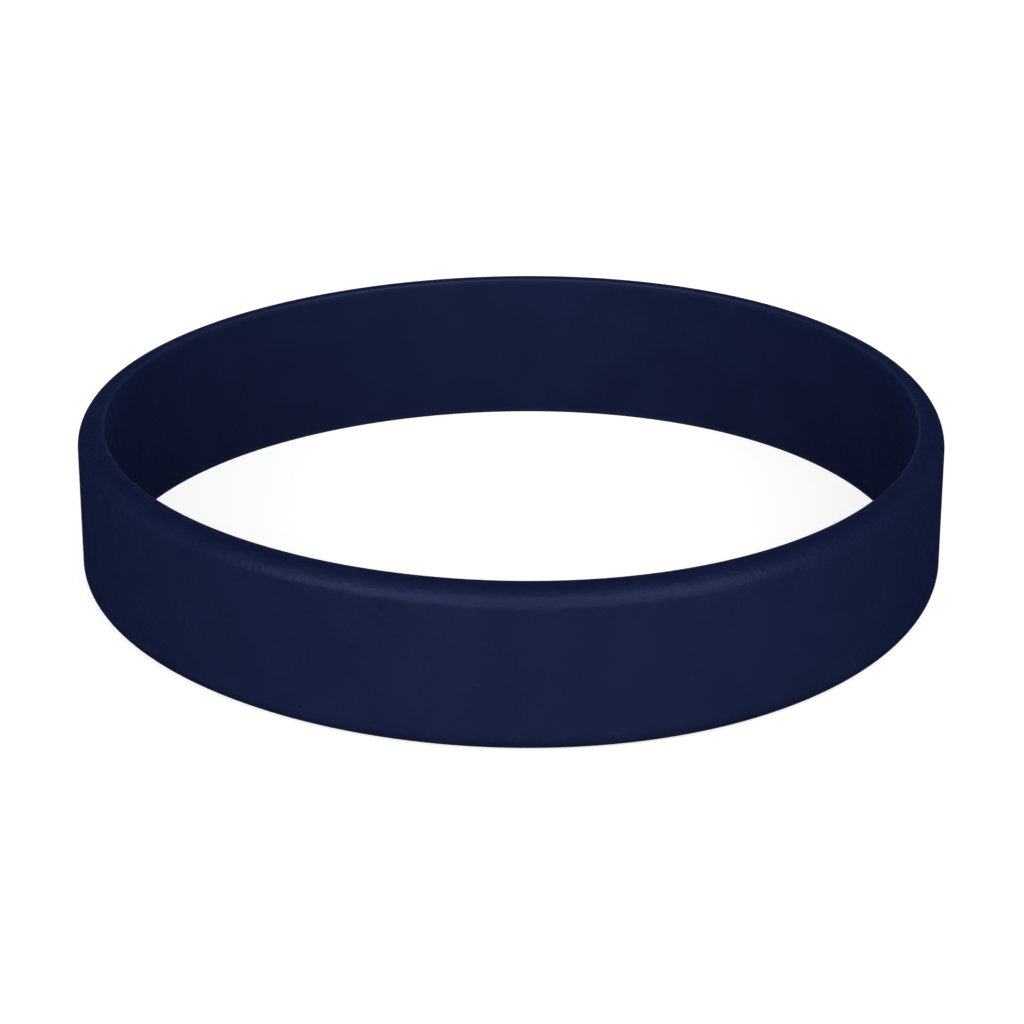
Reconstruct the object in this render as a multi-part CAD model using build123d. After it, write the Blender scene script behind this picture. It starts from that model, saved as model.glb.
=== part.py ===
from build123d import *
from collections import namedtuple
from math import cos, pi, radians
import os

# A moulded silicone wristband: one closed loop of soft rubber with no clasp, lying on its lower edge.
# Lengths are in millimetres. Directions are in degrees from +X, turning towards +Y.

# Driving dimensions
band_length = 202.0       # once round the middle of the wall
band_width = 12.0         # from the lower edge to the upper edge
wall = 2.0                # from the inner face to the outer face
shoulder_radius = 1.5     # soft rounding of both outer edges
inner_edge_radius = 0.2   # small rounding of both inner edges
least_land = 0.2          # flat strip that each edge keeps beside its shoulder
bend_arcs = 24            # arcs that the loop is drawn with, each turning by the same angle

# Soft rubber relaxes a little out of round. Each lobe is a wave that runs round the loop.
Lobe = namedtuple("Lobe", ["waves", "push_share", "toward"])
lobes = [
    # waves round the loop, how far it stands out as a share of the mean radius, and one of its directions
    Lobe(waves=2, push_share=0.02, toward=87.0),
    Lobe(waves=3, push_share=0.0113, toward=52.0),
]

# Sizes that follow from them
mean_radius = band_length / (2 * pi)
arc_turn = 360 / bend_arcs
shoulder = min(shoulder_radius, wall - inner_edge_radius - least_land)


def bend_radius(direction):
    """Radius of the wall's middle line where it faces this direction.

    It is the mean radius less push * (waves * waves - 1) * cos(waves * (direction - toward))
    for each lobe, so the wall bends more tightly where it stands out. Each lobe's arcs cancel
    once round, so the loop closes and keeps its length.
    """
    share = 1.0
    for lobe in lobes:
        swing = lobe.push_share * (lobe.waves * lobe.waves - 1)
        share -= swing * cos(lobe.waves * radians(direction - lobe.toward))
    return mean_radius * share


def loop_outline(outward):
    """Closed outline of tangent arcs, standing outward from the wall's middle line.

    It starts where the wall faces +X and turns once round.
    """
    start = Vector(mean_radius + outward, 0)
    heading = Vector(0, 1)
    arcs = []
    for step in range(bend_arcs):
        facing = (step + 0.5) * arc_turn
        arc = JernArc(start, heading, bend_radius(facing) + outward, arc_turn)
        arcs.append(arc)
        start = arc @ 1
        heading = heading.rotate(Axis.Z, arc_turn)
    return Wire(arcs)


def wristband():
    """The loop raised to the band's width, with its four edges rounded and its box centred on Z."""
    plan = make_face(loop_outline(wall / 2)) - make_face(loop_outline(-wall / 2))
    band = extrude(plan, band_width)
    edge_faces = band.faces().filter_by(Plane.XY)
    outer_edges = [face.outer_wire().edges() for face in edge_faces]
    band = fillet(outer_edges, shoulder)
    edge_faces = band.faces().filter_by(Plane.XY)
    inner_edges = [face.inner_wires().edges() for face in edge_faces]
    band = fillet(inner_edges, inner_edge_radius)
    middle = band.bounding_box().center()
    return Pos(-middle.X, -middle.Y, 0) * band


os.makedirs("parts", exist_ok=True)
export_step(wristband(), "parts/band.step")
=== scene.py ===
import math

import bpy
import numpy as np
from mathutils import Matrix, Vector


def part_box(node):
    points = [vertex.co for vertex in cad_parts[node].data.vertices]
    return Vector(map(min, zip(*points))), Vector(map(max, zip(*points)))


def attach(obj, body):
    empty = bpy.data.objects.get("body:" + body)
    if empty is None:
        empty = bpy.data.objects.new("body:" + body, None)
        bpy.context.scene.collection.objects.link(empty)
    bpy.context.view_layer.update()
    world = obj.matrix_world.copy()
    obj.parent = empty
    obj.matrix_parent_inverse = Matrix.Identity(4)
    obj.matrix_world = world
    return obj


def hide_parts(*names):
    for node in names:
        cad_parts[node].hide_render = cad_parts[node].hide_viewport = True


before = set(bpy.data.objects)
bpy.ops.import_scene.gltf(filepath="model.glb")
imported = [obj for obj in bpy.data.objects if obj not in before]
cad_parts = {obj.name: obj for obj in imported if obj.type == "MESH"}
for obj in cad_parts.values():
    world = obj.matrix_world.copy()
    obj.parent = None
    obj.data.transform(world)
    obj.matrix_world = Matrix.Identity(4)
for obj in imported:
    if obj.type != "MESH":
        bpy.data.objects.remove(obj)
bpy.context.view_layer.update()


# The band
# One closed loop of navy silicone rubber, pressed and cured in a steel mould in one go, with no join.
# Its outer edges are softly rounded and its inner edges are almost sharp. It lies on its lower edge.

MM = 0.001
band_low, band_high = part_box("band")
band_width = band_high[2] - band_low[2]
loop_length = 202 * MM
mean_radius = loop_length / (2 * math.pi)
wall = 2.0 * MM
shoulder = 1.5 * MM
inner_edge = 0.2 * MM

# Waves round the loop, how far each stands out as a share of the mean radius, and the way it faces.
relaxed_lobes = [
    {"waves": 2, "push": 0.0200, "toward": math.radians(87)},
    {"waves": 3, "push": 0.0113, "toward": math.radians(52)},
]


def middle_line(facing):
    """Points of the wall's middle line, one for each direction that the wall faces.

    The line's tangent there lies at mean_radius * (1 + sum of push * cos(waves * (facing - toward)))
    from the centre, so each point is that far along the facing direction, and as far along the
    tangent as the distance changes with the direction.
    """
    reach = np.full_like(facing, mean_radius)
    change = np.zeros_like(facing)
    for lobe in relaxed_lobes:
        angle = lobe["waves"] * (facing - lobe["toward"])
        reach += mean_radius * lobe["push"] * np.cos(angle)
        change -= mean_radius * lobe["push"] * lobe["waves"] * np.sin(angle)
    x = reach * np.cos(facing) - change * np.sin(facing)
    y = reach * np.sin(facing) + change * np.cos(facing)
    return x, y


def corner(outward, height, radius, start, steps):
    """Quarter circle about (outward, height), turning anticlockwise from the angle start."""
    angle = start + np.linspace(0, math.pi / 2, steps + 1)
    return outward + radius * np.cos(angle), height + radius * np.sin(angle)


def flat(start, end, steps):
    """Evenly spaced points strictly between two ends."""
    return np.linspace(start, end, steps + 1)[1:-1]


def section_outline():
    """The wall's cut outline, anticlockwise from the lower outer edge: outward offset and height.

    Four quarter circles joined by straight runs: the outer face, the upper land, the inner face
    and the lower land.
    """
    outer, inner = wall / 2, -wall / 2
    top, bottom = band_width, 0.0
    shoulder_steps, edge_steps, face_steps, land_steps = 18, 6, 36, 3
    low_out = corner(outer - shoulder, bottom + shoulder, shoulder, -math.pi / 2, shoulder_steps)
    high_out = corner(outer - shoulder, top - shoulder, shoulder, 0.0, shoulder_steps)
    high_in = corner(inner + inner_edge, top - inner_edge, inner_edge, math.pi / 2, edge_steps)
    low_in = corner(inner + inner_edge, bottom + inner_edge, inner_edge, math.pi, edge_steps)
    outer_face = flat(bottom + shoulder, top - shoulder, face_steps)
    inner_face = flat(top - inner_edge, bottom + inner_edge, face_steps)
    upper_land = flat(outer - shoulder, inner + inner_edge, land_steps)
    lower_land = flat(inner + inner_edge, outer - shoulder, land_steps)
    outward = np.concatenate([
        low_out[0], np.full_like(outer_face, outer), high_out[0], upper_land,
        high_in[0], np.full_like(inner_face, inner), low_in[0], lower_land,
    ])
    height = np.concatenate([
        low_out[1], outer_face, high_out[1], np.full_like(upper_land, top),
        high_in[1], inner_face, low_in[1], np.full_like(lower_land, bottom),
    ])
    return outward, height


def closed_grid(rows, columns):
    """Quads of a grid that closes on itself both ways, as corner indices."""
    row = np.arange(rows)[:, None]
    column = np.arange(columns)[None, :]
    next_row = (row + 1) % rows
    next_column = (column + 1) % columns
    corners = [row * columns + column, next_row * columns + column,
               next_row * columns + next_column, row * columns + next_column]
    return np.stack(np.broadcast_arrays(*corners), axis=-1).reshape(-1, 4)


def band_surface():
    """The section carried round the middle line, square to it: one row for each direction faced.

    The whole is then moved so that its box is centred on the solid's.
    """
    steps_round = 720
    facing = np.arange(steps_round) * (2 * math.pi / steps_round)
    x, y = middle_line(facing)
    outward, height = section_outline()
    px = x[:, None] + outward[None, :] * np.cos(facing)[:, None]
    py = y[:, None] + outward[None, :] * np.sin(facing)[:, None]
    pz = np.broadcast_to(height[None, :], px.shape)
    px = px - (px.max() + px.min()) / 2 + (band_low[0] + band_high[0]) / 2
    py = py - (py.max() + py.min()) / 2 + (band_low[1] + band_high[1]) / 2
    points = np.stack([px, py, pz + band_low[2]], axis=-1)
    return points, closed_grid(*px.shape)


def add_mesh(name, points, quads):
    """A smooth-shaded mesh object at the origin, with its place in its points."""
    mesh = bpy.data.meshes.new(name)
    mesh.from_pydata(points.reshape(-1, 3).tolist(), [], quads.tolist())
    mesh.polygons.foreach_set("use_smooth", np.ones(len(mesh.polygons), dtype=bool))
    mesh.update()
    piece = bpy.data.objects.new(name, mesh)
    bpy.context.scene.collection.objects.link(piece)
    return piece


def inner_edge_highlight():
    """How much painted highlight the section has: 1 at the middle of each inner edge, falling evenly to 0.
    """
    highlight_reach = 0.30 * MM
    outward, height = section_outline()
    edge_inset = inner_edge * (1 - math.sqrt(0.5))
    to_top = np.hypot(outward + wall / 2 - edge_inset, height - band_width + edge_inset)
    to_bottom = np.hypot(outward + wall / 2 - edge_inset, height - edge_inset)
    return np.clip(1 - np.minimum(to_top, to_bottom) / highlight_reach, 0, 1)


def edge_mottle():
    """How mottled the section is: 1 on the rounded outer edges, less on their lands, 0 on both faces.

    It rises over the quarter of each shoulder next to the face, falls to on_land over the half next
    to the land, and falls again round the inner edge.
    """
    on_land = 0.3
    outward, height = section_outline()
    up_shoulder = (np.abs(height - band_width / 2) - band_width / 2 + shoulder) / (shoulder / 4)
    clear_of_land = (outward - wall / 2 + shoulder) / (shoulder / 2)
    round_inner_edge = (outward + wall / 2) / inner_edge
    on_shoulder = np.clip(up_shoulder, 0, 1) * np.clip(clear_of_land, on_land, 1)
    return on_shoulder * np.clip(round_inner_edge, 0, 1)


def mark(piece, name, section_share):
    """Stores a share for each point, the same in every section round the loop."""
    rows = len(piece.data.vertices) // len(section_share)
    layer = piece.data.attributes.new(name, "FLOAT", "POINT")
    layer.data.foreach_set("value", np.tile(section_share, rows))


class Finish:
    """A material in the making.

    The methods from noise to marked add nodes and return an output. The method put sets the inputs
    of any node, and surface sets those of the shader.
    """

    def __init__(self, name):
        self.material = bpy.data.materials.new(name)
        self.material.use_nodes = True
        self.nodes = self.material.node_tree.nodes
        self.shader = self.nodes["Principled BSDF"]
        self.place = self.nodes.new("ShaderNodeTexCoord").outputs["Object"]

    def noise(self, per_metre, detail):
        """Cloudy pattern round 0.5, with that many clouds in a metre."""
        node = self.nodes.new("ShaderNodeTexNoise")
        self.put(node, {"Vector": self.place, "Scale": per_metre, "Detail": detail})
        return node.outputs["Fac"]

    def ranged(self, value, start, end, low, high):
        """Goes evenly from low to high as the value goes from start to end, and no further."""
        node = self.nodes.new("ShaderNodeMapRange")
        self.put(node, {"Value": value, "From Min": start, "From Max": end, "To Min": low, "To Max": high})
        return node.outputs["Result"]

    def clouds(self, per_metre, detail, low, high):
        """Cloudy pattern from low, where the noise is thin, to high, where it is thick."""
        thin, thick = 0.35, 0.65
        return self.ranged(self.noise(per_metre, detail), thin, thick, low, high)

    def combined(self, operation, first, second):
        """One value worked out from two by the operation named."""
        node = self.nodes.new("ShaderNodeMath")
        node.operation = operation
        self.put(node, {0: first, 1: second})
        return node.outputs["Value"]

    def blended(self, share, first, second):
        """The first colour where the share is 0, and the second where it is 1.

        A mix node has inputs for numbers, vectors and colours, so its colours are found by place.
        """
        first_colour, second_colour, result_colour = 6, 7, 2
        node = self.nodes.new("ShaderNodeMix")
        node.data_type = "RGBA"
        self.put(node, {"Factor": share, first_colour: first, second_colour: second})
        return node.outputs[result_colour]

    def marked(self, name):
        """A share that mark() has stored in the piece."""
        node = self.nodes.new("ShaderNodeAttribute")
        node.attribute_name = name
        return node.outputs["Fac"]

    def put(self, node, values):
        """Sets a node's inputs, each to a number, a colour or another node's output."""
        for name, value in values.items():
            socket = node.inputs[name]
            if isinstance(value, bpy.types.NodeSocket):
                self.material.node_tree.links.new(value, socket)
            elif isinstance(value, tuple):
                socket.default_value = (*value, 1)
            else:
                socket.default_value = value

    def surface(self, values):
        """Sets the shader's inputs."""
        self.put(self.shader, values)


def silicone():
    """Matte navy silicone, with heights of its grain, ripple and pinholes in millimetres.

    The mould's fine grain and a faint ripple break up the gleam. Pigment clouds the colour a little,
    the inner edges are painted paler as a thin highlight line, and a few pinholes are left where
    bubbles lay on the mould, each painted darker as shade in its pit.
    """
    deep_navy, light_navy = (0.0070, 0.0112, 0.0420), (0.0084, 0.0132, 0.0480)
    # The paler navy is a painted highlight along the inner edges; the darker one is painted shade in the
    # pinholes.
    highlight_navy, pit_shade_navy = (0.0170, 0.0250, 0.0720), (0.0048, 0.0080, 0.0310)
    grain_height, pit_depth = 0.006, 0.025
    face_ripple, shoulder_ripple = 0.018, 0.068
    finish = Finish("navy_silicone")

    # The cells fill space, each about 2 mm wide, and three in ten have a bubble in the middle. It is
    # a ball that fades over the outer half of its radius, and a pinhole shows where it meets the skin:
    # a shallow pit in the relief, painted darker as shade.
    cells_per_metre, share_with_bubble = 500, 0.3
    bubble_radius = 0.16 * MM
    cells = finish.nodes.new("ShaderNodeTexVoronoi")
    finish.put(cells, {"Vector": finish.place, "Scale": cells_per_metre})
    cell_colour = finish.nodes.new("ShaderNodeSeparateColor")
    finish.put(cell_colour, {"Color": cells.outputs["Color"]})
    reach_in_cells = bubble_radius * cells_per_metre
    in_ball = finish.ranged(cells.outputs["Distance"], reach_in_cells / 2, reach_in_cells, 1, 0)
    chosen = finish.combined("GREATER_THAN", cell_colour.outputs["Red"], 1 - share_with_bubble)
    pinhole_and_shade = finish.combined("MULTIPLY", in_ball, chosen)

    # The inner edges are painted paler in patches, as a thin highlight line along them.
    patches = finish.clouds(per_metre=1500, detail=2, low=0.7, high=1.0)
    patchy_highlight = finish.combined("MULTIPLY", finish.marked("edge_highlight_share"), patches)
    pigment = finish.clouds(per_metre=260, detail=3, low=0, high=1)
    navy = finish.blended(pigment, deep_navy, light_navy)
    navy = finish.blended(patchy_highlight, navy, highlight_navy)
    # The pinholes are painted darker, as shade in their pits.
    navy = finish.blended(pinhole_and_shade, navy, pit_shade_navy)

    grain = finish.combined("MULTIPLY", finish.noise(per_metre=4500, detail=2), grain_height)
    ripple_height = finish.ranged(finish.marked("mottle"), 0, 1, face_ripple, shoulder_ripple)
    ripple = finish.combined("MULTIPLY", finish.noise(per_metre=2000, detail=3), ripple_height)
    pit = finish.combined("MULTIPLY", pinhole_and_shade, pit_depth)
    relief = finish.combined("SUBTRACT", finish.combined("ADD", grain, ripple), pit)
    bump = finish.nodes.new("ShaderNodeBump")
    finish.put(bump, {"Strength": 1.0, "Distance": MM, "Height": relief})

    finish.surface({
        "Base Color": navy,
        "Roughness": finish.clouds(per_metre=2500, detail=2, low=0.38, high=0.46),
        "IOR": 1.41,
        "Specular IOR Level": 0.32,
        "Specular Tint": (0.415, 0.555, 1.0),
        "Sheen Weight": 0.04,
        "Sheen Roughness": 0.5,
        "Sheen Tint": (0.105, 0.22, 1.0),
        "Normal": bump.outputs["Normal"],
    })
    return finish.material


band = add_mesh("band_silicone", *band_surface())
mark(band, "edge_highlight_share", inner_edge_highlight())
mark(band, "mottle", edge_mottle())
band.data.materials.append(silicone())
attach(band, "root")
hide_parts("band")


# The floor
# A plain pale table top, which isn't part of the object. Its own tone lights the band from below.
# The camera alone also sees a painted glow on it, like an evenly lit sweep but weaker near the band,
# which leaves the band's faint shadow showing there and is white further out, so the floor runs into
# the room behind it without an edge.

floor_reach = 3.0
faint_glow, full_glow = 0.7, 1.0
faint_within, full_from = 60 * MM, 300 * MM
floor_corners = np.array([[-1, -1, 0], [1, -1, 0], [1, 1, 0], [-1, 1, 0]]) * floor_reach
floor = add_mesh("floor", floor_corners, np.array([[0, 1, 2, 3]]))
floor_finish = Finish("pale_floor")
from_middle = floor_finish.nodes.new("ShaderNodeVectorMath")
from_middle.operation = "LENGTH"
floor_finish.put(from_middle, {0: floor_finish.place})
glow = floor_finish.ranged(from_middle.outputs["Value"], faint_within, full_from, faint_glow, full_glow)
seen_by_camera = floor_finish.nodes.new("ShaderNodeLightPath").outputs["Is Camera Ray"]
floor_finish.surface({
    "Base Color": (0.8, 0.8, 0.8),
    "Roughness": 0.9,
    "Specular IOR Level": 0.0,
    "Emission Color": (1, 1, 1),
    "Emission Strength": floor_finish.combined("MULTIPLY", glow, seen_by_camera),
})
floor.data.materials.append(floor_finish.material)
floor.visible_glossy = False


# The light
# Wide soft boxes in front shade the band as in the photograph and leave a gleam along its shoulder.
# Those behind light the far side evenly. They stay out of the gloss, so the rims keep their dark edge.

box_width, box_height, box_distance = 0.45, 0.25, 0.60


def soft_box(name, azimuth, elevation, power, gleams):
    """Wide area light of a power in watts that faces the band, from a direction round it in degrees."""
    data = bpy.data.lights.new(name, "AREA")
    data.shape = "RECTANGLE"
    data.size, data.size_y = box_width, box_height
    data.energy = power
    light = bpy.data.objects.new(name, data)
    turn, lift = math.radians(azimuth), math.radians(elevation)
    light.location = (box_distance * math.cos(lift) * math.sin(turn),
                      -box_distance * math.cos(lift) * math.cos(turn),
                      box_distance * math.sin(lift))
    light.rotation_euler = (math.pi / 2 - lift, 0, turn)
    light.visible_camera = False
    light.visible_glossy = gleams
    bpy.context.scene.collection.objects.link(light)


soft_box("left_middle", -45, 16, 0.47, gleams=True)
soft_box("left_main", -45, 28, 0.96, gleams=True)
soft_box("left_high", -45, 42, 0.21, gleams=True)
soft_box("front_low", 0, 4, 0.92, gleams=True)
soft_box("front_high", 0, 42, 0.69, gleams=True)
soft_box("right_low", 45, 4, 0.60, gleams=True)
soft_box("right_main", 45, 28, 0.75, gleams=True)
soft_box("right_high", 45, 42, 0.61, gleams=True)
soft_box("back", 180, 4, 3.0, gleams=False)
soft_box("back_left", -135, 4, 0.5, gleams=False)
soft_box("back_right", 135, 4, 0.5, gleams=False)

# The room is dark, and the camera sees a white sweep behind the floor.
world = bpy.data.worlds.new("studio")
world.use_nodes = True
bpy.context.scene.world = world
sweep = world.node_tree.nodes["Background"]
sweep.inputs["Color"].default_value = (1, 1, 1, 1)
seen = world.node_tree.nodes.new("ShaderNodeLightPath")
world.node_tree.links.new(seen.outputs["Is Camera Ray"], sweep.inputs["Strength"])
bpy.context.scene.view_settings.view_transform = "Standard"


# The camera
# It stands in front of the band and looks down on it as the photograph does, through a long lens.

photo_side = 1024
focal_pixels = 3301
centre_pixel = (511.1, 485.3)
camera_distance = 250.7 * MM
camera_height_angle = math.radians(21.86)
camera_data = bpy.data.cameras.new("camera")
camera_data.lens = camera_data.sensor_width * focal_pixels / photo_side
camera_data.shift_x = (photo_side / 2 - centre_pixel[0]) / photo_side
camera_data.shift_y = (centre_pixel[1] - photo_side / 2) / photo_side
camera_data.clip_start = 10 * MM
camera = bpy.data.objects.new("camera", camera_data)
camera.location = (0, -camera_distance * math.cos(camera_height_angle),
                   band_width / 2 + camera_distance * math.sin(camera_height_angle))
camera.rotation_euler = (math.pi / 2 - camera_height_angle, 0, 0)
bpy.context.scene.collection.objects.link(camera)
bpy.context.scene.camera = camera
